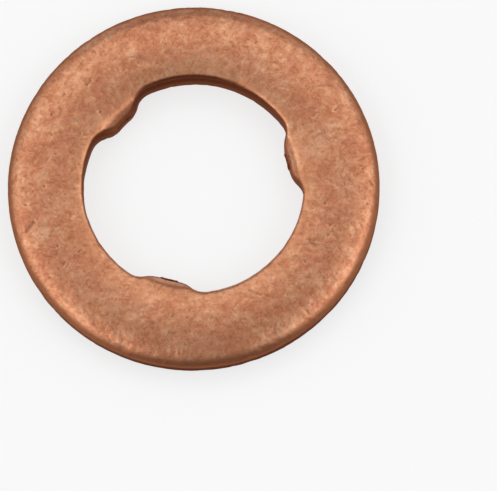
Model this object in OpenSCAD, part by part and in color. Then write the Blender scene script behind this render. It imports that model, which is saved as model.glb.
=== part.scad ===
// Injector heat shield: a flat ring of soft copper that seals an injector's nose against its seat.
// It is stamped in one piece and tumbled, so every edge is rolled over. Three nibs left on the
// bore wall grip the nozzle and keep the ring on it until the injector is fitted.
// Frame: the ring lies on its lower face at z = 0, its axis is Z, and the first nib is on +X.

/* [Ring] */
// Outside diameter of the ring
outer_d = 15; // [14.5:0.1:20]
// Diameter of the bore wall between the nibs
bore_d = 8.9; // [7:0.05:9.4]
// Thickness between the two sealing faces
thickness = 1.5; // [1.4:0.1:3]

/* [Nibs] */
// Number of nibs round the bore
nib_count = 3; // [2:1:5]
// How far each nib stands in from the bore wall
nib_height = 0.52; // [0.42:0.01:0.8]
// Width of a nib across its tip, before its corners are rounded
nib_tip_w = 1.15; // [0.8:0.05:1.6]
// Lean of a nib's flanks from its centre line
nib_flank_deg = 60; // [58:1:68]
// Radius of the two corners at a nib's tip
nib_corner_r = 1.15; // [1.05:0.01:1.3]
// Radius of the hollow where a nib's flank runs into the bore wall
nib_root_r = 0.75; // [0.4:0.01:0.9]

/* [Upper face] */
// Width over which the upper face falls away to the rim, where the punch drew the metal down
rim_fall_w = 1.5; // [0.8:0.05:1.6]
// How far it has fallen at the rim
rim_fall = 0.3; // [0.1:0.01:0.35]

/* [Edges] */
// Rounding of the rim at the upper face
rim_top_r = 0.35; // [0.1:0.01:0.4]
// Rounding of the rim at the lower face
rim_under_r = 0.4; // [0.1:0.01:0.5]
// Rounding of the bore and nibs at the upper face
bore_top_r = 0.5; // [0.1:0.01:0.6]
// Rounding of the bore and nibs at the lower face
bore_under_r = 0.22; // [0.1:0.01:0.3]

/* [Hidden] */
copper = [0.76, 0.5, 0.37];

outer_r = outer_d / 2;
bore_r = bore_d / 2;
tip_r = bore_r - nib_height;
ring_w = outer_r - bore_r;
nib_pitch = 360 / nib_count;

// Each arc of a nib's outline crosses its neighbours by this hair instead of just touching them,
// so that the solids join cleanly
seam = 0.004;
// The stretch behind a nib's wall that each piece of the wall reaches back by, to end in the ring's flat land
wall_depth = nib_height + bore_top_r + 0.1;
// The ring's section is drawn in two halves that meet in the middle of its flat land
land_w = ring_w - rim_fall_w - bore_top_r;
land_mid = bore_top_r + land_w / 2;

// A nib is drawn on +X. A flank is a straight line at flank_off from the ring's axis, and the
// tip's corners and the root hollows are arcs that run into it, each placed by its angle round the axis.
tip_half_deg = asin(nib_tip_w / 2 / tip_r);
flank_off = tip_r * sin(nib_flank_deg - tip_half_deg);
corner_at_r = tip_r + nib_corner_r - seam;
corner_deg = nib_flank_deg - asin((flank_off + nib_corner_r - seam) / corner_at_r);
hollow_at_r = bore_r - nib_root_r + seam;
hollow_deg = nib_flank_deg - asin((flank_off - nib_root_r + seam) / hollow_at_r);
flank_from = corner_at_r * cos(nib_flank_deg - corner_deg);
flank_to = hollow_at_r * cos(nib_flank_deg - hollow_deg) + nib_root_r;

big_fn = 180;
small_fn = 48;

// A quarter of a round edge, its centre at the origin
module quarter(r) {
    intersection() {
        circle(r, $fn = small_fn);
        square(r);
    }
}

// The radius of the arc on which a face falls away over a width of w
function fall_r(w, fall) = (w * w + fall * fall) / (2 * fall);

// Half of a slab from its middle up, from x = 0 to x = w, with a round edge at x = w
module flat_half(w, r) {
    half = thickness / 2;
    square([w - r, half]);
    square([w, half - r]);
    translate([w - r, half - r])
        quarter(r);
}

// The same half, its face flat at first, then falling away on a wide arc that runs into the round edge
module falling_half(w, r, fall_w, fall) {
    half = thickness / 2;
    big_r = fall_r(fall_w, fall);
    lean_sin = (fall_w - r) / (big_r - r);
    round_z = half - big_r + (big_r - r) * sqrt(1 - lean_sin * lean_sin) + seam;
    square([w - fall_w, half]);
    intersection() {
        translate([w - fall_w, half - big_r]) circle(big_r, $fn = big_fn);
        translate([w - fall_w, 0]) square([fall_w - r + r * lean_sin, half]);
    }
    square([w, round_z]);
    translate([w - r, round_z])
        quarter(r);
}

// The ring's section from its flat land out to the rim
module rim_section(w) {
    translate([0, thickness / 2]) {
        falling_half(w, rim_top_r, rim_fall_w, rim_fall);
        mirror([0, 1]) flat_half(w, rim_under_r);
    }
}

// The section of the bore's edge and of the nibs, from the metal at x = 0 to the wall at x = w
module bore_section(w) {
    translate([0, thickness / 2]) {
        flat_half(w, bore_top_r);
        mirror([0, 1]) flat_half(w, bore_under_r);
    }
}

// The same section the other way round, with the wall at x = 0 and the metal behind it
module wall_section(depth) {
    translate([depth, 0])
        mirror([1, 0]) bore_section(depth);
}

// The wall swept round an arc of radius r, with the metal outside it
module wall_outside(r, from_deg, to_deg) {
    rotate([0, 0, from_deg])
        rotate_extrude(angle = to_deg - from_deg, $fn = big_fn)
            translate([r, 0]) wall_section(wall_depth);
}

// One side of a nib: the tip's corner, the flank and the hollow at the root
module nib_side() {
    rotate([0, 0, corner_deg])
        translate([corner_at_r, 0, 0])
            rotate_extrude($fn = small_fn)
                bore_section(nib_corner_r);
    rotate([0, 0, nib_flank_deg - 90])
        translate([flank_off, flank_to, 0])
            rotate([90, 0, 0])
                linear_extrude(flank_to - flank_from) wall_section(wall_depth);
    rotate([0, 0, hollow_deg])
        translate([hollow_at_r, 0, 0])
            wall_outside(nib_root_r, nib_flank_deg - 90 - hollow_deg, 0);
}

module nib() {
    wall_outside(tip_r, -corner_deg, corner_deg);
    nib_side();
    mirror([0, 1, 0]) nib_side();
}

// The plain ring, from the bore wall out to the rim
module ring() {
    rotate_extrude($fn = big_fn)
        translate([bore_r, 0]) {
            translate([land_mid, 0]) rim_section(ring_w - land_mid);
            wall_section(land_mid);
        }
}

module heat_shield() {
    color(copper) {
        ring();
        for (i = [0 : nib_count - 1])
            rotate([0, 0, i * nib_pitch]) nib();
    }
}

heat_shield();
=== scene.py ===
from math import cos, pi, radians, sin

import bpy
from mathutils import Matrix, Vector


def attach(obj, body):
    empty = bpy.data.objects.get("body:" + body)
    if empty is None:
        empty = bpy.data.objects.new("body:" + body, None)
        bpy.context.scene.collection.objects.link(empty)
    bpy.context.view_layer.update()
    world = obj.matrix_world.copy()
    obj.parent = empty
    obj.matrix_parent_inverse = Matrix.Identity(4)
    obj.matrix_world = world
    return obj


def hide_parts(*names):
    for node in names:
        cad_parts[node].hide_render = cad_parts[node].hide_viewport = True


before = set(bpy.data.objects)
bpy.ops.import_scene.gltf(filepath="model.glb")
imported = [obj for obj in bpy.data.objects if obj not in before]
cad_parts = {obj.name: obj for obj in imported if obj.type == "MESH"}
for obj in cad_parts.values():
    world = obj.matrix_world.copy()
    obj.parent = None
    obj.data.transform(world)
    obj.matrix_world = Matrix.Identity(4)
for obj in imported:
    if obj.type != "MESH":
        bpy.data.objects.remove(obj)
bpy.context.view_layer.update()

MM = 0.001

# The ring's sizes, all in millimetres and radians. The bore's radius, the roundings and the falls
# were fitted to the photograph, and differ a little from the solid's.
RING = (
    ("Outside radius", 7.5),
    ("Bore radius", 4.42),
    ("Thickness", 1.5),
    ("Nibs", 3),
    ("Nib height", 0.52),
    ("Nib tip width", 1.15),
    ("Flank lean", radians(60)),
    ("Nib corner radius", 1.15),
    ("Nib root radius", 0.75),
    ("Rim rounding above", 0.5),
    ("Rim rounding below", 0.5),
    ("Bore rounding above", 0.16),
    ("Bore rounding below", 0.16),
    # The upper face falls away to the rim, a little to the bore, and most along the nibs
    ("Rim fall width", 1.9),
    ("Rim fall", 0.42),
    ("Bore fall width", 1.1),
    ("Bore fall", 0.16),
    ("Nib tip fall", 0.42),
    # Mesh fineness: columns round the ring and rows round its section
    ("Columns", 860),
    ("Rows", 112),
    # Tumbling: how deep the soft swells and the fine grain go
    ("Swell size", 1.3),
    ("Swell depth", 0.026),
    ("Grain size", 0.2),
    ("Grain depth", 0.01),
    # How much of their full depth the dents and the single marks have
    ("Dents", 1.0),
    ("Marks", 1.0),
)

# The share of the way round the section at which the underside lies, where the rows of the mesh
# stand widest, and how much wider than the mean they stand there
UNDERSIDE_AT, UNDERSIDE_WIDER = 0.7, 0.42
# The rows follow the nibbed outline to this far behind the bore's wall, and the rim's circle from
# this far inside the rim
BEHIND_BORE, INSIDE_RIM = 0.28, 0.7
# Points along each rounded corner of the section, and how close points are welded, in mm
CORNER_POINTS, WELD = 12, 0.001
# How sharply the upper face bends down to the rim, to the bore and along a nib, as a power
RIM_BEND, BORE_BEND, NIB_BEND = 2.2, 2, 2
# The slope of a nib starts this far in from the bore's wall
NIB_FOOT = 0.06

# The dark band at the sheared walls, partly their own darker sheared surface and partly painted
# shade: its reach onto the face at the bore, how much more it has at the rim, at a nib's tip and on
# the side where each wall lies in shade, and the width over which it fades
BORE_BAND, RIM_BAND_MORE, NIB_BAND_MORE, SHADE_SIDE_BAND_MORE = 0.05, 0.2, 0.08, 0.11
BORE_BAND_FADE, RIM_FADE_MORE = 0.06, 0.14
# How fast the painted shade's extra reach drops away from the side where the wall lies in shade, as
# a power
SHADE_SIDE_FOCUS = 1.7
# A nib's slope gets painted shade only on the side where the walls lie in shade: this times that
# side's share, plus the second
NIB_DARK, NIB_DARK_BASE = 1.4, -0.4

# What the copper's layers go by: name, value, where it starts and is full, and the most it gets
SHADES = (
    # The sheared walls' own darker surface, with painted shade on the side where they lie in shade
    ("wall", "band", 0, 1, 1),
    # Painted shade, darkest at the head of the bore's wall and at the foot of the rim's, on their
    # shaded side
    ("painted_shade", "painted_shade", 0.2, 0.65, 0.8),
    # Paler copper towards the bore: partly rubbing, partly a painted highlight
    ("rub_and_highlight", "from axis", 5.4, 4.6, 0.22),
)

# Dents: cell size in mm, stretch and turn of the cells, reach in cells, depth in mm, share of the
# cells that have one, how dark it is, and how pale a painted glint it gets where it is rubbed
# instead
DENTS = (
    (0.9, 1, 0, 0.45, 0.018, 0.5, 0, 0),
    (0.36, 1, 30, 0.5, 0.011, 0.8, 0, 0),
    (0.2, 2.6, 10, 0.5, 0.009, 0.35, 0.12, 0),
    (0.2, 2.6, 55, 0.5, 0.009, 0.35, 0.12, 0),
    (0.2, 2.6, 100, 0.5, 0.009, 0.35, 0.12, 0),
    (0.2, 2.6, 145, 0.5, 0.009, 0.35, 0.12, 0),
    (0.16, 5, 20, 0.35, 0.012, 0.12, 0.42, 0),
    (0.16, 5, 85, 0.35, 0.012, 0.12, 0.42, 0),
    (0.16, 5, 140, 0.35, 0.012, 0.12, 0.42, 0),
    (0.2, 1, 0, 0.36, 0.02, 0.08, 0.5, 0),
    (0.14, 3.5, 50, 0.4, 0.003, 0.2, 0, 0.45),
    (0.14, 3.5, 120, 0.4, 0.003, 0.2, 0, 0.45),
)
# How freely the cells of the dents and strokes are scattered
SCATTER = 0.9

# The rim's shoulder was rubbed in short strokes across it, each pressed in a little and given a
# painted glint.
# In mm: how wide and long a stroke is, where its width is measured, the shoulder's radius, and how
# far to either side of it the strokes are full and end. Then the share of the cells that have one,
# its reach in cells, how pale its painted glint is and its depth in mm.
STROKE_WIDE, STROKE_LONG, STROKE_MEASURED_AT = 0.17, 0.5, 7
SHOULDER_AT, SHOULDER_FULL, SHOULDER_END = 6.95, 0.1, 0.35
STROKE_PART, STROKE_REACH, STROKE_GLINT, STROKE_DEEP = 0.4, 0.45, 0.45, 0.006

# Marks that tumbling and handling left on the upper face, in millimetres: start, middle, end
NICKS = (
    ((-3.04, 5.12), (-2.93, 5.20), (-2.83, 5.28)),
    ((-7.00, -0.03), (-6.80, 0.09), (-6.56, 0.26)),
    ((6.70, -1.24), (6.72, -1.25), (6.76, -1.24)),
    ((6.91, -1.78), (6.92, -1.84), (6.95, -1.92)),
)
# A pit is a short straight stroke: this is half its length in x and half of it in y
PIT_HALF, PIT_RISE = 0.03, 0.01
PITS = tuple(((x - PIT_HALF, y), (x, y + PIT_RISE), (x + PIT_HALF, y + 2 * PIT_RISE)) for x, y in (
    (-6.69, 1.02), (-5.79, 1.54), (-5.93, -1.00), (-5.17, -1.45), (-6.55, -2.13), (-2.83, 3.90),
    (-3.68, 3.15), (4.87, -2.27), (3.46, -4.35), (4.82, -3.18), (6.52, -2.67), (4.62, -3.56),
    (6.35, 1.40), (5.42, 1.37), (-4.72, 4.33), (-4.02, 5.00),
))
SCRATCHES = (
    ((5.53, 2.35), (5.91, 2.75), (6.59, 2.38)),
    ((6.53, -0.88), (6.84, -0.84), (7.13, -0.71)),
    ((0.96, -4.84), (1.12, -5.02), (1.41, -5.19)),
)
# The marks by kind: how far a mark reaches from its line, its depth, both in mm, and its darkness
MARKS = (
    (NICKS, 0.06, 0.05, 0.55),
    (PITS, 0.06, 0.04, 0.6),
    (SCRATCHES, 0.05, 0.03, 0.35),
)
# A mark is full to this far from its line, in mm, and its rubbed lip is this wide and has a painted
# glint this pale
MARK_FULL, LIP_WIDE, LIP_GLINT = 0.02, 0.04, 0.12
# Stretches that a mark's curved line is drawn in
MARK_STRETCHES = 12

# Where the ring's outline runs, as one sum per line: name, operation, and what goes in. The
# outline is in polar form: the radius for each turn round the axis, counted from the nearest nib.
OUTLINE = (
    ("turn", "ARCTAN2", "y", "x"),
    ("tip", "SUBTRACT", "Bore radius", "Nib height"),
    ("tip half", "MULTIPLY", "Nib tip width", 0.5),
    ("tip sine", "DIVIDE", "tip half", "tip"),
    ("tip turn", "ARCSINE", "tip sine"),
    ("lean", "SUBTRACT", "Flank lean", "tip turn"),
    ("lean sine", "SINE", "lean"),
    ("flank off", "MULTIPLY", "tip", "lean sine"),
    # The corner's centre
    ("corner at", "ADD", "tip", "Nib corner radius"),
    ("corner off", "ADD", "flank off", "Nib corner radius"),
    ("corner sine", "DIVIDE", "corner off", "corner at"),
    ("corner lean", "ARCSINE", "corner sine"),
    ("corner turn", "SUBTRACT", "Flank lean", "corner lean"),
    # The hollow's centre
    ("hollow at", "SUBTRACT", "Bore radius", "Nib root radius"),
    ("hollow off", "SUBTRACT", "flank off", "Nib root radius"),
    ("hollow sine", "DIVIDE", "hollow off", "hollow at"),
    ("hollow lean", "ARCSINE", "hollow sine"),
    ("hollow turn", "SUBTRACT", "Flank lean", "hollow lean"),
    # The turns at which the flank starts and ends
    ("corner cosine", "COSINE", "corner lean"),
    ("start along", "MULTIPLY", "corner at", "corner cosine"),
    ("start lean", "ARCTAN2", "flank off", "start along"),
    ("start turn", "SUBTRACT", "Flank lean", "start lean"),
    ("hollow cosine", "COSINE", "hollow lean"),
    ("end along", "MULTIPLY", "hollow at", "hollow cosine"),
    ("end lean", "ARCTAN2", "flank off", "end along"),
    ("end turn", "SUBTRACT", "Flank lean", "end lean"),
    # The turn from the nearest nib
    ("pitch half", "DIVIDE", pi, "Nibs"),
    ("pitch less", "MULTIPLY", "pitch half", -1),
    ("nearest", "WRAP", "turn", "pitch half", "pitch less"),
    ("away", "ABSOLUTE", "nearest"),
    # The radius on the corner's arc
    ("corner away", "SUBTRACT", "away", "corner turn"),
    ("corner away sine", "SINE", "corner away"),
    ("corner away cosine", "COSINE", "corner away"),
    ("corner across", "MULTIPLY", "corner at", "corner away sine"),
    ("corner along", "MULTIPLY", "corner at", "corner away cosine"),
    ("corner across squared", "MULTIPLY", "corner across", "corner across"),
    ("corner squared", "MULTIPLY", "Nib corner radius", "Nib corner radius"),
    ("corner left", "SUBTRACT", "corner squared", "corner across squared"),
    ("corner reach", "SQRT", "corner left"),
    ("on corner", "SUBTRACT", "corner along", "corner reach"),
    # The radius on the straight flank
    ("flank away", "SUBTRACT", "Flank lean", "away"),
    ("flank away sine", "SINE", "flank away"),
    ("on flank", "DIVIDE", "flank off", "flank away sine"),
    # The radius on the hollow's arc
    ("hollow away", "SUBTRACT", "hollow turn", "away"),
    ("hollow away sine", "SINE", "hollow away"),
    ("hollow away cosine", "COSINE", "hollow away"),
    ("hollow across", "MULTIPLY", "hollow at", "hollow away sine"),
    ("hollow along", "MULTIPLY", "hollow at", "hollow away cosine"),
    ("hollow across squared", "MULTIPLY", "hollow across", "hollow across"),
    ("hollow squared", "MULTIPLY", "Nib root radius", "Nib root radius"),
    ("hollow left", "SUBTRACT", "hollow squared", "hollow across squared"),
    ("hollow reach", "SQRT", "hollow left"),
    ("on hollow", "ADD", "hollow along", "hollow reach"),
)
# Past each of these turns the outline runs on the next stretch
STRETCHES = (
    ("corner turn", "on corner"),
    ("start turn", "on flank"),
    ("end turn", "on hollow"),
    ("hollow turn", "Bore radius"),
)

# The section, drawn as a filleted rectangle: where a row of the mesh falls on it. The rows stand
# closest on the upper face and widest on the lower one.
SECTION_ROW = (
    ("width", "SUBTRACT", "Outside radius", "Bore radius"),
    ("columns", "ADD", "Columns", 1),
    ("rows", "ADD", "Rows", 1),
    ("row", "ADD", "y", 0.5),
    ("from below", "SUBTRACT", "row", UNDERSIDE_AT),
    ("from below turn", "MULTIPLY", "from below", 2 * pi),
    ("from below sine", "SINE", "from below turn"),
    ("shift", "MULTIPLY", "from below sine", UNDERSIDE_WIDER / (2 * pi)),
    ("row shifted", "ADD", "row", "shift"),
    ("row factor", "FRACT", "row shifted"),
    ("at rim", "GREATER_THAN", "x", 0),
    ("above", "GREATER_THAN", "y", 0),
)
# Which point of the bore's outline a column of the mesh belongs to, and how far from the bore's
# wall and from the rim each row lies
SHEET = (
    ("column share", "ADD", "x", 0.5),
    ("column at", "MULTIPLY_ADD", "column share", "Columns", 0.5),
    ("column whole", "FLOOR", "column at"),
    ("column", "MODULO", "column whole", "Columns"),
    ("across", "MULTIPLY_ADD", "width", 0.5, "section x"),
    ("behind", "MINIMUM", "across", BEHIND_BORE),
    ("rim hold", "SUBTRACT", "width", INSIDE_RIM),
    ("held", "MAXIMUM", "across", "rim hold"),
    ("out to", "ADD", "Bore radius", "held"),
    ("from rim", "SUBTRACT", "width", "across"),
    ("edge gap", "MINIMUM", "across", "from rim"),
)
# The fall of the upper face at each point, by its distance from the axis
FALL = (
    ("half", "MULTIPLY", "Thickness", 0.5),
    ("rim land", "SUBTRACT", "Outside radius", "Rim fall width"),
    ("past rim land", "SUBTRACT", "from axis", "rim land"),
    ("rim part", "DIVIDE", "past rim land", "Rim fall width"),
    ("rim part held", "MAXIMUM", "rim part", 0),
    ("rim bend", "POWER", "rim part held", RIM_BEND),
    ("rim drop", "MULTIPLY", "rim bend", "Rim fall"),
    ("bore land", "ADD", "Bore radius", "Bore fall width"),
    ("past bore land", "SUBTRACT", "bore land", "from axis"),
    ("bore part", "DIVIDE", "past bore land", "Bore fall width"),
    ("bore part held", "MAXIMUM", "bore part", 0),
    ("bore bend", "POWER", "bore part held", BORE_BEND),
    ("face drop", "MULTIPLY_ADD", "bore bend", "Bore fall", "rim drop"),
    ("nib foot", "SUBTRACT", "Bore radius", NIB_FOOT),
    ("past nib foot", "SUBTRACT", "nib foot", "from axis"),
    ("nib reach", "SUBTRACT", "Nib height", NIB_FOOT),
    ("nib part", "DIVIDE", "past nib foot", "nib reach"),
    ("nib part held", "MAXIMUM", "nib part", 0),
    ("nib bend", "POWER", "nib part held", NIB_BEND),
    ("drop", "MULTIPLY_ADD", "nib bend", "Nib tip fall", "face drop"),
    ("upper side", "MAXIMUM", "section z", 0),
    ("lower side", "MINIMUM", "section z", 0),
    ("left", "SUBTRACT", "half", "drop"),
    ("shrink", "DIVIDE", "left", "half"),
    ("upper height", "MULTIPLY_ADD", "upper side", "shrink", "half"),
    ("height", "ADD", "upper height", "lower side"),
)
# The sheared walls: a dark band that is partly their own darker sheared surface and partly painted
# shade.
# The bore's band is widest on +Y and the rim's on -Y, the sides where each wall lies in shade, and
# that extra reach is painted shade. The painted shade is darkest at the head of the bore's wall and
# at the foot of the rim's.
BAND = (
    ("by rim", "GREATER_THAN", "across", "from rim"),
    ("towards", "DIVIDE", "flat y", "from axis"),
    ("towards half", "MULTIPLY_ADD", "towards", 0.5, 0.5),
    # The side on which each wall lies in shade, +Y for the bore's and -Y for the rim's: the band's
    # extra reach there is painted shade
    ("shade side", "SUBTRACT", "by rim", "towards half"),
    ("shade side near", "ABSOLUTE", "shade side"),
    ("shade side share", "POWER", "shade side near", SHADE_SIDE_FOCUS),
    ("band least", "MULTIPLY_ADD", "by rim", RIM_BAND_MORE, BORE_BAND),
    ("band at nibs", "MULTIPLY_ADD", "nib part held", NIB_BAND_MORE, "band least"),
    ("band reach", "MULTIPLY_ADD", "shade side share", SHADE_SIDE_BAND_MORE, "band at nibs"),
    ("into band", "SUBTRACT", "band reach", "edge gap"),
    ("band fade", "MULTIPLY_ADD", "by rim", RIM_FADE_MORE, BORE_BAND_FADE),
    ("band part", "DIVIDE", "into band", "band fade"),
    ("band part held", "MAXIMUM", "band part", 0),
    # Painted shade on a nib's slope, on the side where the walls lie in shade
    ("nib dark share", "MULTIPLY_ADD", "shade side share", NIB_DARK, NIB_DARK_BASE),
    ("nib dark", "MULTIPLY", "nib part held", "nib dark share"),
    ("band or nib", "MAXIMUM", "band part held", "nib dark"),
    ("band", "MINIMUM", "band or nib", 1),
    # Painted shade: darkest at the head of the bore's wall and at the foot of the rim's, on the
    # side where they lie in shade
    ("height share", "DIVIDE", "height", "Thickness"),
    ("dark end", "SUBTRACT", "by rim", "height share"),
    ("dark end share", "ABSOLUTE", "dark end"),
    ("painted shade band", "MULTIPLY", "band", "shade side share"),
    ("painted_shade", "MULTIPLY", "dark end share", "painted shade band"),
)

# The copper's mottling in three sizes: size in mm, share of the whole, detail and distortion
MOTTLING = ((1.2, 0.36, 2, 0.5), (0.36, 0.42, 3, 0.4), (0.12, 0.22, 2, 0.3))
# The copper's colours by their place in the mottling, from dark to pale
TONES = ((0.395, "#BD7957"), (0.475, "#D08C66"), (0.53, "#DA9C75"), (0.62, "#EBB38D"))
# Scuffs: length and width in mm, their directions, and for each kind where in the noise it starts
# and is full, and the most it covers
SCUFF_LONG, SCUFF_WIDE = 0.25, 0.08
SCUFF_TURNS = (20, 75, 140)
SCUFFS = (("dark", 0.62, 0.75, 0.42), ("pale", 0.36, 0.25, 0.22))
# Pinker patches: size in mm, and as for a scuff, but they cover a little everywhere
PINK_SIZE = 0.8
PINK_START, PINK_FULL, PINK_LEAST, PINK_MOST = 0.42, 0.6, 0.2, 0.45
PINK, SCUFF_DARK, SCUFF_PALE = "#D0886A", "#905030", "#F0C09A"
# The layers that go by the ring's own attributes, from the lowest up
WORN = (
    # Paler copper towards the bore: partly rubbing, partly a painted highlight
    ("rub_and_highlight", "#DEA47A"),
    # Pale flecks on rubbed spots: a painted glint
    ("rub_and_glint", "#F6C6A2"),
    # The sheared walls' own darker surface, with painted shade on the side where they lie in shade
    ("wall", "#A5694A"),
    # Painted shade at the head of the bore's wall and the foot of the rim's
    ("painted_shade", "#6A3A28"),
    ("dark", "#804222"),
)
# What the faces and the sheared walls are tinted by at a glancing angle
FACE_GLANCE, WALL_GLANCE = (1, 1, 1, 1), "#AA9EA0"
# Roughness where the mottling is darkest and palest, and the finest grain's size and depth in mm
TONE_DARK, TONE_PALE, ROUGH_DARK, ROUGH_PALE = 0.35, 0.65, 0.46, 0.38
FINE_SIZE, FINE_DEEP = 0.07, 0.006

# The paper: its colour, half its width in metres, how far it lies under the ring in mm, and how
# much plain glow the camera and the metal's reflections see of it
PAPER, PAPER_HALF, PAPER_BELOW = "#F6F6F6", 1.0, 0.002
GLOW_SEEN, GLOW_MIRRORED = 0.7, 0.15

# The photograph's view: a long lens from a little below the ring's axis, the first nib turned
# 9.7 degrees from the picture's right
NIB_TURN = radians(9.7)
TILT, ROLL = radians(13.76), radians(6.08)
AWAY = 500 * MM
SENSOR = 36
# The picture's scale, its width and its middle, and where the ring's middle falls in it, in
# pixels; then how high that middle lies above the paper, in mm
PX_PER_MM = 24.85
PICTURE_WIDE, PICTURE_MIDDLE = 497, (248.5, 245.5)
RING_MIDDLE, RING_MIDDLE_HIGH = (193.7, 188.0), 0.75
# The nearest and farthest that the camera sees, in metres
NEAREST, FARTHEST = 0.01, 5
SPIN = Matrix.Rotation(-NIB_TURN, 3, "Z")

# Soft light, from lamps far enough off to stay clear of every view: a horseshoe of broad panels
# that is open towards the picture's bottom, and a dimmer one near the top. Each is given by its
# turn round the picture from the right, its lean from straight above, its size and its level.
LAMP_AWAY = 1.2
LAMPS = (
    ("low right", -33, 50, 0.72, 1.0, 1.35),
    ("right", 6, 57, 0.72, 0.95, 1.15),
    ("upper right", 48, 54, 0.72, 0.85, 0.85),
    ("top", 90, 37, 0.72, 0.48, 1.05),
    ("upper left", 132, 54, 0.72, 0.85, 0.9),
    ("left", 174, 57, 0.72, 0.95, 1.1),
    ("low left", 213, 50, 0.72, 1.0, 1.35),
    ("overhead", 90, 16, 1.3, 0.7, 0.4),
)
ROOM_LIGHT = 0.26


def add(tree, kind, inputs=(), **settings):
    """Adds a node, sets its settings, and links or sets its inputs by their place or name."""
    node = tree.nodes.new(kind)
    for key, value in settings.items():
        setattr(node, key, value)
    for key, value in inputs.items() if isinstance(inputs, dict) else enumerate(inputs):
        if isinstance(value, bpy.types.NodeSocket):
            tree.links.new(value, node.inputs[key])
        elif value is not None:
            node.inputs[key].default_value = value
    return node


def add_rows(tree, rows, known):
    """Adds one sum for each row, and puts its result in known under the row's name."""
    for name, operation, *terms in rows:
        values = [known.get(term, term) for term in terms]
        known[name] = add(tree, "ShaderNodeMath", values, operation=operation).outputs[0]


def hex_rgb(code):
    """An sRGB hex colour as linear red, green, blue and alpha."""
    parts = [int(code[i:i + 2], 16) / 255 for i in (1, 3, 5)]
    return [c / 12.92 if c <= 0.04045 else ((c + 0.055) / 1.055) ** 2.4 for c in parts] + [1]


def mottled(tree, mm):
    """The copper's tone, and the colour that it gives before anything is layered over it."""
    tone = 0.0
    for size, share, detail, bend in MOTTLING:
        noise = add(tree, "ShaderNodeTexNoise", {
            "Vector": mm, "Scale": 1 / size, "Detail": detail, "Distortion": bend}).outputs[0]
        tone = add(tree, "ShaderNodeMath", [noise, share, tone],
                   operation="MULTIPLY_ADD").outputs[0]
    ramp = add(tree, "ShaderNodeValToRGB", [tone])
    while len(ramp.color_ramp.elements) < len(TONES):
        ramp.color_ramp.elements.new(0.5)
    for element, (place, code) in zip(ramp.color_ramp.elements, TONES):
        element.position = place
        element.color = hex_rgb(code)
    return tone, ramp.outputs[0]


def scuffed(tree, mm):
    """How much of each kind of scuff covers a point: short lines in three directions."""
    shares = {kind: 0.0 for kind, *_ in SCUFFS}
    for turn in SCUFF_TURNS:
        turned = add(tree, "ShaderNodeVectorRotate", {"Vector": mm, "Angle": radians(turn)},
                     rotation_type="Z_AXIS").outputs[0]
        scale = (1 / SCUFF_LONG, 1 / SCUFF_WIDE, 1 / SCUFF_LONG)
        drawn = add(tree, "ShaderNodeVectorMath", [turned, scale], operation="MULTIPLY").outputs[0]
        lines = add(tree, "ShaderNodeTexNoise", {
            "Vector": drawn, "Scale": 1, "Detail": 1}).outputs[0]
        for kind, start, full, most in SCUFFS:
            much = add(tree, "ShaderNodeMapRange", [lines, start, full, 0, most]).outputs[0]
            shares[kind] = add(tree, "ShaderNodeMath", [shares[kind], much],
                               operation="MAXIMUM").outputs[0]
    return shares


def copper():
    """Annealed copper, tumbled: a soft satin metal, blotched by heat, darker where it is pitted."""
    mat = bpy.data.materials.new("annealed_copper_tumbled")
    mat.use_nodes = True
    tree = mat.node_tree
    tree.nodes.clear()
    place = add(tree, "ShaderNodeTexCoord").outputs["Object"]
    mm = add(tree, "ShaderNodeVectorMath", [place, (1 / MM,) * 3], operation="MULTIPLY").outputs[0]
    tone, colour = mottled(tree, mm)
    scuffs = scuffed(tree, mm)
    # Heat and handling left some of it pinker, and the bore's edge is paler copper, partly rubbed
    # and partly a painted highlight
    patches = add(tree, "ShaderNodeTexNoise", {
        "Vector": mm, "Scale": 1 / PINK_SIZE, "Detail": 3}).outputs[0]
    pink = add(tree, "ShaderNodeMapRange", [
        patches, PINK_START, PINK_FULL, PINK_LEAST, PINK_MOST]).outputs[0]
    worn = {name: add(tree, "ShaderNodeAttribute", attribute_name=name).outputs["Fac"]
            for name, _ in WORN}
    layers = [(pink, PINK), (scuffs["dark"], SCUFF_DARK), (scuffs["pale"], SCUFF_PALE)]
    for share, code in layers + [(worn[name], code) for name, code in WORN]:
        colour = add(tree, "ShaderNodeMix", {0: share, 6: colour, 7: hex_rgb(code)},
                     data_type="RGBA").outputs[2]
    # The sheared walls are too rough to brighten at a glancing angle as the faces do
    glance = add(tree, "ShaderNodeMix", {
        0: worn["wall"], 6: FACE_GLANCE, 7: hex_rgb(WALL_GLANCE)}, data_type="RGBA").outputs[2]
    rough = add(tree, "ShaderNodeMapRange", [
        tone, TONE_DARK, TONE_PALE, ROUGH_DARK, ROUGH_PALE]).outputs[0]
    grain = add(tree, "ShaderNodeTexNoise", {
        "Vector": mm, "Scale": 1 / FINE_SIZE, "Detail": 3}).outputs[0]
    bump = add(tree, "ShaderNodeBump", {
        "Height": grain, "Strength": 1, "Distance": FINE_DEEP * MM}).outputs[0]
    shader = add(tree, "ShaderNodeBsdfPrincipled", {
        "Base Color": colour, "Metallic": 1, "Roughness": rough, "Specular Tint": glance,
        "Normal": bump}).outputs[0]
    add(tree, "ShaderNodeOutputMaterial", [shader])
    return mat


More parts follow.
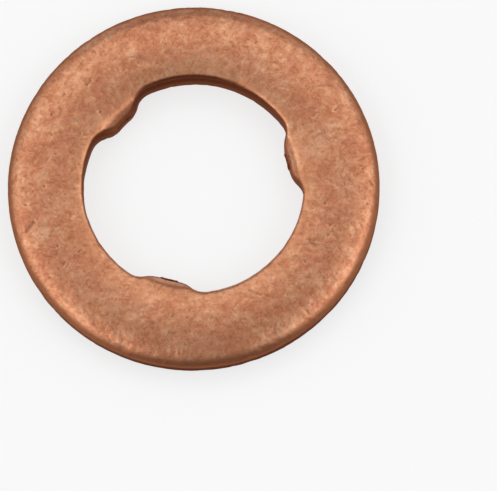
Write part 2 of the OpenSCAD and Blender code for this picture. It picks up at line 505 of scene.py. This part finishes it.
def bore_outline(tree, at, here):
    """The bore's nibbed outline, one point for each column of the mesh."""
    add_rows(tree, OUTLINE, at)
    radius = at["tip"]
    for limit, beyond in STRETCHES:
        past = add(tree, "ShaderNodeMath", [at["away"], at[limit]],
                   operation="GREATER_THAN").outputs[0]
        radius = add(tree, "ShaderNodeMix", [past, None, radius, at[beyond]]).outputs[0]
    circle = add(tree, "GeometryNodeCurvePrimitiveCircle", {
        "Resolution": at["Columns"], "Radius": 1}).outputs[0]
    place = add(tree, "ShaderNodeVectorMath", {0: here, "Scale": radius},
                operation="SCALE").outputs[0]
    return add(tree, "GeometryNodeSetPosition", {
        "Geometry": circle, "Position": place}).outputs[0]


def ring_section(tree, at):
    """The ring's section as a rectangle with its four corners rounded."""
    add_rows(tree, SECTION_ROW, at)
    rectangle = add(tree, "GeometryNodeCurvePrimitiveQuadrilateral", {
        "Width": at["width"], "Height": at["Thickness"]}).outputs[0]
    low, high = [
        add(tree, "ShaderNodeMix", [
            at["at rim"], None, at["Bore rounding " + side], at["Rim rounding " + side]]).outputs[0]
        for side in ("below", "above")]
    rounding = add(tree, "ShaderNodeMix", [at["above"], None, low, high]).outputs[0]
    return add(tree, "GeometryNodeFilletCurve", {
        "Curve": rectangle, "Count": CORNER_POINTS, "Radius": rounding}, mode="POLY").outputs[0]


def wrapped_sheet(tree, at, here, outline, section):
    """A sheet of columns and rows, wrapped round the outline and the section and welded shut."""
    sheet = add(tree, "GeometryNodeMeshGrid", [1, 1, at["columns"], at["rows"]]).outputs[0]
    on_section = add(tree, "GeometryNodeSampleCurve", {
        "Curves": section, "Factor": at["row factor"]}, mode="FACTOR").outputs["Position"]
    at["section x"], at["section z"], _ = add(tree, "ShaderNodeSeparateXYZ", [on_section]).outputs
    add_rows(tree, SHEET, at)
    tangent = add(tree, "GeometryNodeInputTangent").outputs[0]
    point, along = [
        add(tree, "GeometryNodeSampleIndex", {
            "Geometry": outline, "Value": field, "Index": at["column"]},
            data_type="FLOAT_VECTOR", domain="POINT").outputs[0]
        for field in (here, tangent)]
    inward = add(tree, "ShaderNodeVectorMath", [along, (0, 0, 1)],
                 operation="CROSS_PRODUCT").outputs[0]
    outward = add(tree, "ShaderNodeVectorMath", [point], operation="NORMALIZE").outputs[0]
    step_in = add(tree, "ShaderNodeVectorMath", {0: inward, "Scale": at["behind"]},
                  operation="SCALE").outputs[0]
    near_bore = add(tree, "ShaderNodeVectorMath", [point, step_in], operation="ADD").outputs[0]
    near_rim = add(tree, "ShaderNodeVectorMath", {0: outward, "Scale": at["out to"]},
                   operation="SCALE").outputs[0]
    share = add(tree, "ShaderNodeMapRange", [
        at["across"], BEHIND_BORE, at["rim hold"], 0, 1]).outputs[0]
    flat = add(tree, "ShaderNodeMix", {0: share, 4: near_bore, 5: near_rim},
               data_type="VECTOR").outputs[1]
    at["flat y"] = add(tree, "ShaderNodeSeparateXYZ", [flat]).outputs[1]
    at["from axis"] = add(tree, "ShaderNodeVectorMath", [flat], operation="LENGTH").outputs["Value"]
    add_rows(tree, FALL + BAND, at)
    lift = add(tree, "ShaderNodeCombineXYZ", [0, 0, at["height"]]).outputs[0]
    place = add(tree, "ShaderNodeVectorMath", [flat, lift], operation="ADD").outputs[0]
    for name, value, start, full, most in SHADES:
        much = add(tree, "ShaderNodeMapRange", [at[value], start, full, 0, most],
                   interpolation_type="SMOOTHSTEP").outputs[0]
        sheet = add(tree, "GeometryNodeStoreNamedAttribute", {
            "Geometry": sheet, "Name": name, "Value": much},
            data_type="FLOAT", domain="POINT").outputs[0]
    mesh = add(tree, "GeometryNodeSetPosition", {
        "Geometry": sheet, "Position": place}).outputs[0]
    return add(tree, "GeometryNodeMergeByDistance", {
        "Geometry": mesh, "Distance": WELD}).outputs[0]


def dents(tree, at, here):
    """Dents in scattered cells, each row of the table at its own size and turn."""
    for size, stretch, turn, reach, deep, part, shade, rub_and_glint in DENTS:
        turned = add(tree, "ShaderNodeVectorRotate", {"Vector": here, "Angle": radians(turn)},
                     rotation_type="Z_AXIS").outputs[0]
        scale = (1 / size / stretch, 1 / size, 1 / size)
        cells = add(tree, "ShaderNodeVectorMath", [turned, scale], operation="MULTIPLY").outputs[0]
        voronoi = add(tree, "ShaderNodeTexVoronoi", {
            "Vector": cells, "Scale": 1, "Randomness": SCATTER}).outputs
        at["pick"] = add(tree, "FunctionNodeSeparateColor", [voronoi["Color"]]).outputs[0]
        at["bowl"] = add(tree, "ShaderNodeMapRange", [voronoi["Distance"], 0, reach, 1, 0],
                         interpolation_type="SMOOTHSTEP").outputs[0]
        add_rows(tree, (
            ("hit", "LESS_THAN", "pick", part),
            ("dent", "MULTIPLY", "bowl", "hit"),
            ("pressed", "MULTIPLY", "dent", "Dents"),
            ("depth", "MULTIPLY_ADD", "pressed", deep, "depth"),
            ("dark", "MULTIPLY_ADD", "pressed", shade, "dark"),
            ("rub_and_glint", "MULTIPLY_ADD", "pressed", rub_and_glint, "rub_and_glint"),
        ), at)


def shoulder_strokes(tree, at, from_above):
    """Short rubbed strokes across the rim's shoulder, pressed in a little and given a painted
    glint.
    """
    at["out"] = add(tree, "ShaderNodeVectorMath", [from_above],
                    operation="LENGTH").outputs["Value"]
    add_rows(tree, (
        ("stroke across", "MULTIPLY", "turn", STROKE_MEASURED_AT / STROKE_WIDE),
        ("stroke along", "DIVIDE", "out", STROKE_LONG),
        ("off shoulder", "SUBTRACT", "out", SHOULDER_AT),
        ("off either way", "ABSOLUTE", "off shoulder"),
    ), at)
    polar = add(tree, "ShaderNodeCombineXYZ", [at["stroke across"], at["stroke along"]]).outputs[0]
    voronoi = add(tree, "ShaderNodeTexVoronoi", {
        "Vector": polar, "Scale": 1, "Randomness": SCATTER}).outputs
    at["pick"] = add(tree, "FunctionNodeSeparateColor", [voronoi["Color"]]).outputs[0]
    at["stroke"] = add(tree, "ShaderNodeMapRange", [
        voronoi["Distance"], 0, STROKE_REACH, 1, 0]).outputs[0]
    at["shoulder"] = add(tree, "ShaderNodeMapRange", [
        at["off either way"], SHOULDER_FULL, SHOULDER_END, 1, 0]).outputs[0]
    add_rows(tree, (
        ("picked", "LESS_THAN", "pick", STROKE_PART),
        ("stroke picked", "MULTIPLY", "stroke", "picked"),
        ("rubbing", "MULTIPLY", "stroke picked", "shoulder"),
        ("rubbing in", "MULTIPLY", "rubbing", "Marks"),
        ("rub_and_glint", "MULTIPLY_ADD", "rubbing in", STROKE_GLINT, "rub_and_glint"),
        ("depth", "MULTIPLY_ADD", "rubbing in", STROKE_DEEP, "depth"),
    ), at)


def single_marks(tree, at, from_above):
    """The nicks, pits and scratches, each cut in along its own line on the upper face."""
    for marks, reach, deep, shade in MARKS:
        lines = add(tree, "GeometryNodeJoinGeometry")
        for ends in marks:
            line = add(tree, "GeometryNodeCurveQuadraticBezier", [
                MARK_STRETCHES, *((x, y, 0) for x, y in ends)])
            tree.links.new(line.outputs[0], lines.inputs[0])
        edges = add(tree, "GeometryNodeCurveToMesh", [lines.outputs[0]]).outputs[0]
        gap = add(tree, "GeometryNodeProximity", {
            "Target": edges, "Source Position": from_above},
            target_element="EDGES").outputs["Distance"]
        at["groove"] = add(tree, "ShaderNodeMapRange", [gap, MARK_FULL, reach, 1, 0],
                           interpolation_type="SMOOTHSTEP").outputs[0]
        at["lip"] = add(tree, "ShaderNodeMapRange", [
            gap, reach, reach + LIP_WIDE, LIP_GLINT, 0]).outputs[0]
        add_rows(tree, (
            ("on top", "GREATER_THAN", "z", "half"),
            ("marked", "MULTIPLY", "on top", "Marks"),
            ("cut in", "MULTIPLY", "groove", "marked"),
            ("lip rubbed", "MULTIPLY", "lip", "marked"),
            ("depth", "MULTIPLY_ADD", "cut in", deep, "depth"),
            ("dark", "MULTIPLY_ADD", "cut in", shade, "dark"),
            ("rub_and_glint", "ADD", "rub_and_glint", "lip rubbed"),
        ), at)


def pressed_in(tree, at, here, mesh):
    """Presses the relief into the ring, inwards only, and keeps where it is dark and where it has a
    painted glint.
    """
    at["depth"] = at["dark"] = at["rub_and_glint"] = 0.0
    for name, detail in (("Swell", 1), ("Grain", 2)):
        fine = add(tree, "ShaderNodeMath", [1, at[name + " size"]], operation="DIVIDE").outputs[0]
        at[name] = add(tree, "ShaderNodeTexNoise", {
            "Vector": here, "Scale": fine, "Detail": detail}).outputs[0]
        add_rows(tree, (("depth", "MULTIPLY_ADD", name, name + " depth", "depth"),), at)
    from_above = add(tree, "ShaderNodeVectorMath", [here, (1, 1, 0)],
                     operation="MULTIPLY").outputs[0]
    dents(tree, at, here)
    shoulder_strokes(tree, at, from_above)
    single_marks(tree, at, from_above)
    add_rows(tree, (
        ("dark", "MINIMUM", "dark", 1),
        ("inwards", "MULTIPLY", "depth", -1),
    ), at)
    for name in ("dark", "rub_and_glint"):
        mesh = add(tree, "GeometryNodeStoreNamedAttribute", {
            "Geometry": mesh, "Name": name, "Value": at[name]},
            data_type="FLOAT", domain="POINT").outputs[0]
    normal = add(tree, "GeometryNodeInputNormal").outputs[0]
    push = add(tree, "ShaderNodeVectorMath", {0: normal, "Scale": at["inwards"]},
               operation="SCALE").outputs[0]
    return add(tree, "GeometryNodeSetPosition", {"Geometry": mesh, "Offset": push}).outputs[0]


def ring_tree(finish):
    """The ring as Geometry Nodes: its section, swept along the bore's outline and the rim."""
    tree = bpy.data.node_groups.new("Nibbed ring", "GeometryNodeTree")
    keys = {}
    for name, value in RING:
        kind = "NodeSocketInt" if isinstance(value, int) else "NodeSocketFloat"
        keys[name] = tree.interface.new_socket(name, in_out="INPUT", socket_type=kind).identifier
    tree.interface.new_socket("Ring", in_out="OUTPUT", socket_type="NodeSocketGeometry")
    group = add(tree, "NodeGroupInput")
    at = {name: group.outputs[name] for name, _ in RING}
    here = add(tree, "GeometryNodeInputPosition").outputs[0]
    at["x"], at["y"], at["z"] = add(tree, "ShaderNodeSeparateXYZ", [here]).outputs

    outline = bore_outline(tree, at, here)
    section = ring_section(tree, at)
    mesh = wrapped_sheet(tree, at, here, outline, section)
    mesh = pressed_in(tree, at, here, mesh)
    mesh = add(tree, "GeometryNodeTransform", {"Geometry": mesh, "Scale": (MM,) * 3}).outputs[0]
    mesh = add(tree, "GeometryNodeSetShadeSmooth", {"Geometry": mesh}).outputs[0]
    mesh = add(tree, "GeometryNodeRealizeInstances", [mesh]).outputs[0]
    mesh = add(tree, "GeometryNodeSetMaterial", {"Geometry": mesh, "Material": finish}).outputs[0]
    add(tree, "NodeGroupOutput", [mesh])
    return tree, keys


def make_ring(finish):
    """Runs the tree with the ring's sizes, and keeps what it makes as a plain mesh."""
    tree, keys = ring_tree(finish)
    maker = bpy.data.objects.new("ring_maker", bpy.data.meshes.new("ring_maker"))
    bpy.context.collection.objects.link(maker)
    nodes = maker.modifiers.new("Nibbed ring", "NODES")
    nodes.node_group = tree
    for name, value in RING:
        nodes[keys[name]] = value
    graph = bpy.context.evaluated_depsgraph_get()
    mesh = bpy.data.meshes.new_from_object(maker.evaluated_get(graph), depsgraph=graph)
    mesh.name = "copper_ring"
    bpy.data.objects.remove(maker)
    ring = bpy.data.objects.new("copper_ring", mesh)
    bpy.context.collection.objects.link(ring)
    return ring


def white_paper():
    """Matt white paper, which gives a plain white ground that still takes a soft shadow.

    What the camera and the metal see of it is lifted towards white by a plain glow, and the rest
    stays lit paper.
    """
    paper = bpy.data.materials.new("matt_white_paper")
    paper.use_nodes = True
    tree = paper.node_tree
    tree.nodes.clear()
    rays = add(tree, "ShaderNodeLightPath").outputs
    seen = add(tree, "ShaderNodeMath", [rays["Is Camera Ray"], GLOW_SEEN],
               operation="MULTIPLY").outputs[0]
    mirrored = add(tree, "ShaderNodeMath", [rays["Is Glossy Ray"], rays["Is Transmission Ray"]],
                   operation="MAXIMUM").outputs[0]
    lift = add(tree, "ShaderNodeMath", [mirrored, GLOW_MIRRORED, seen],
               operation="MULTIPLY_ADD").outputs[0]
    lit = add(tree, "ShaderNodeBsdfDiffuse", {"Color": hex_rgb(PAPER)}).outputs[0]
    glow = add(tree, "ShaderNodeEmission", {"Color": (1, 1, 1, 1), "Strength": 1}).outputs[0]
    mixed = add(tree, "ShaderNodeMixShader", [lift, lit, glow]).outputs[0]
    add(tree, "ShaderNodeOutputMaterial", [mixed])
    return paper


def make_floor():
    """One flat square of paper under the ring."""
    corners = [(x * PAPER_HALF, y * PAPER_HALF, -PAPER_BELOW * MM)
               for x, y in ((-1, -1), (1, -1), (1, 1), (-1, 1))]
    mesh = bpy.data.meshes.new("floor")
    mesh.from_pydata(corners, [], [(0, 1, 2, 3)])
    mesh.materials.append(white_paper())
    floor = bpy.data.objects.new("floor", mesh)
    bpy.context.collection.objects.link(floor)
    return floor


def make_camera():
    """The camera that sees the ring as the photograph does."""
    side = Vector((1, 0, 0))
    rise = Vector((0, cos(TILT), sin(TILT)))
    right = SPIN @ (cos(ROLL) * side - sin(ROLL) * rise)
    up = SPIN @ (sin(ROLL) * side + cos(ROLL) * rise)
    back = SPIN @ Vector((0, -sin(TILT), cos(TILT)))
    turned = Matrix((right, up, back)).transposed().to_4x4()
    middle = Vector((0, 0, RING_MIDDLE_HIGH * MM))
    across = (PICTURE_MIDDLE[0] - RING_MIDDLE[0]) / PX_PER_MM * MM
    upward = (RING_MIDDLE[1] - PICTURE_MIDDLE[1]) / PX_PER_MM * MM
    place = middle + back * AWAY + right * across + up * upward
    camera = bpy.data.objects.new("camera", bpy.data.cameras.new("camera"))
    camera.data.sensor_width = SENSOR
    camera.data.lens = PX_PER_MM / MM * SENSOR * AWAY / PICTURE_WIDE
    camera.data.clip_start, camera.data.clip_end = NEAREST, FARTHEST
    camera.matrix_world = Matrix.Translation(place) @ turned
    bpy.context.collection.objects.link(camera)
    bpy.context.scene.camera = camera


def make_light():
    """The lamps, and a little plain light from all round."""
    for name, turn, lean, wide, tall, level in LAMPS:
        aim = Matrix.Rotation(radians(turn + 90), 3, "Z") @ Matrix.Rotation(radians(lean), 3, "X")
        lamp = bpy.data.lights.new(name, "AREA")
        lamp.shape = "RECTANGLE"
        lamp.size, lamp.size_y = wide, tall
        lamp.energy = level * pi * wide * tall
        holder = bpy.data.objects.new(name, lamp)
        holder.matrix_world = (SPIN @ aim).to_4x4() @ Matrix.Translation((0, 0, LAMP_AWAY))
        holder.visible_camera = False
        bpy.context.collection.objects.link(holder)
    world = bpy.data.worlds.new("studio")
    world.use_nodes = True
    colour, strength = world.node_tree.nodes["Background"].inputs[:2]
    colour.default_value = (1, 1, 1, 1)
    strength.default_value = ROOM_LIGHT
    bpy.context.scene.world = world


ring = make_ring(copper())
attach(ring, "root")
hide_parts("heat_shield")

floor = make_floor()

make_camera()
make_light()
bpy.context.scene.view_settings.view_transform = "Standard"
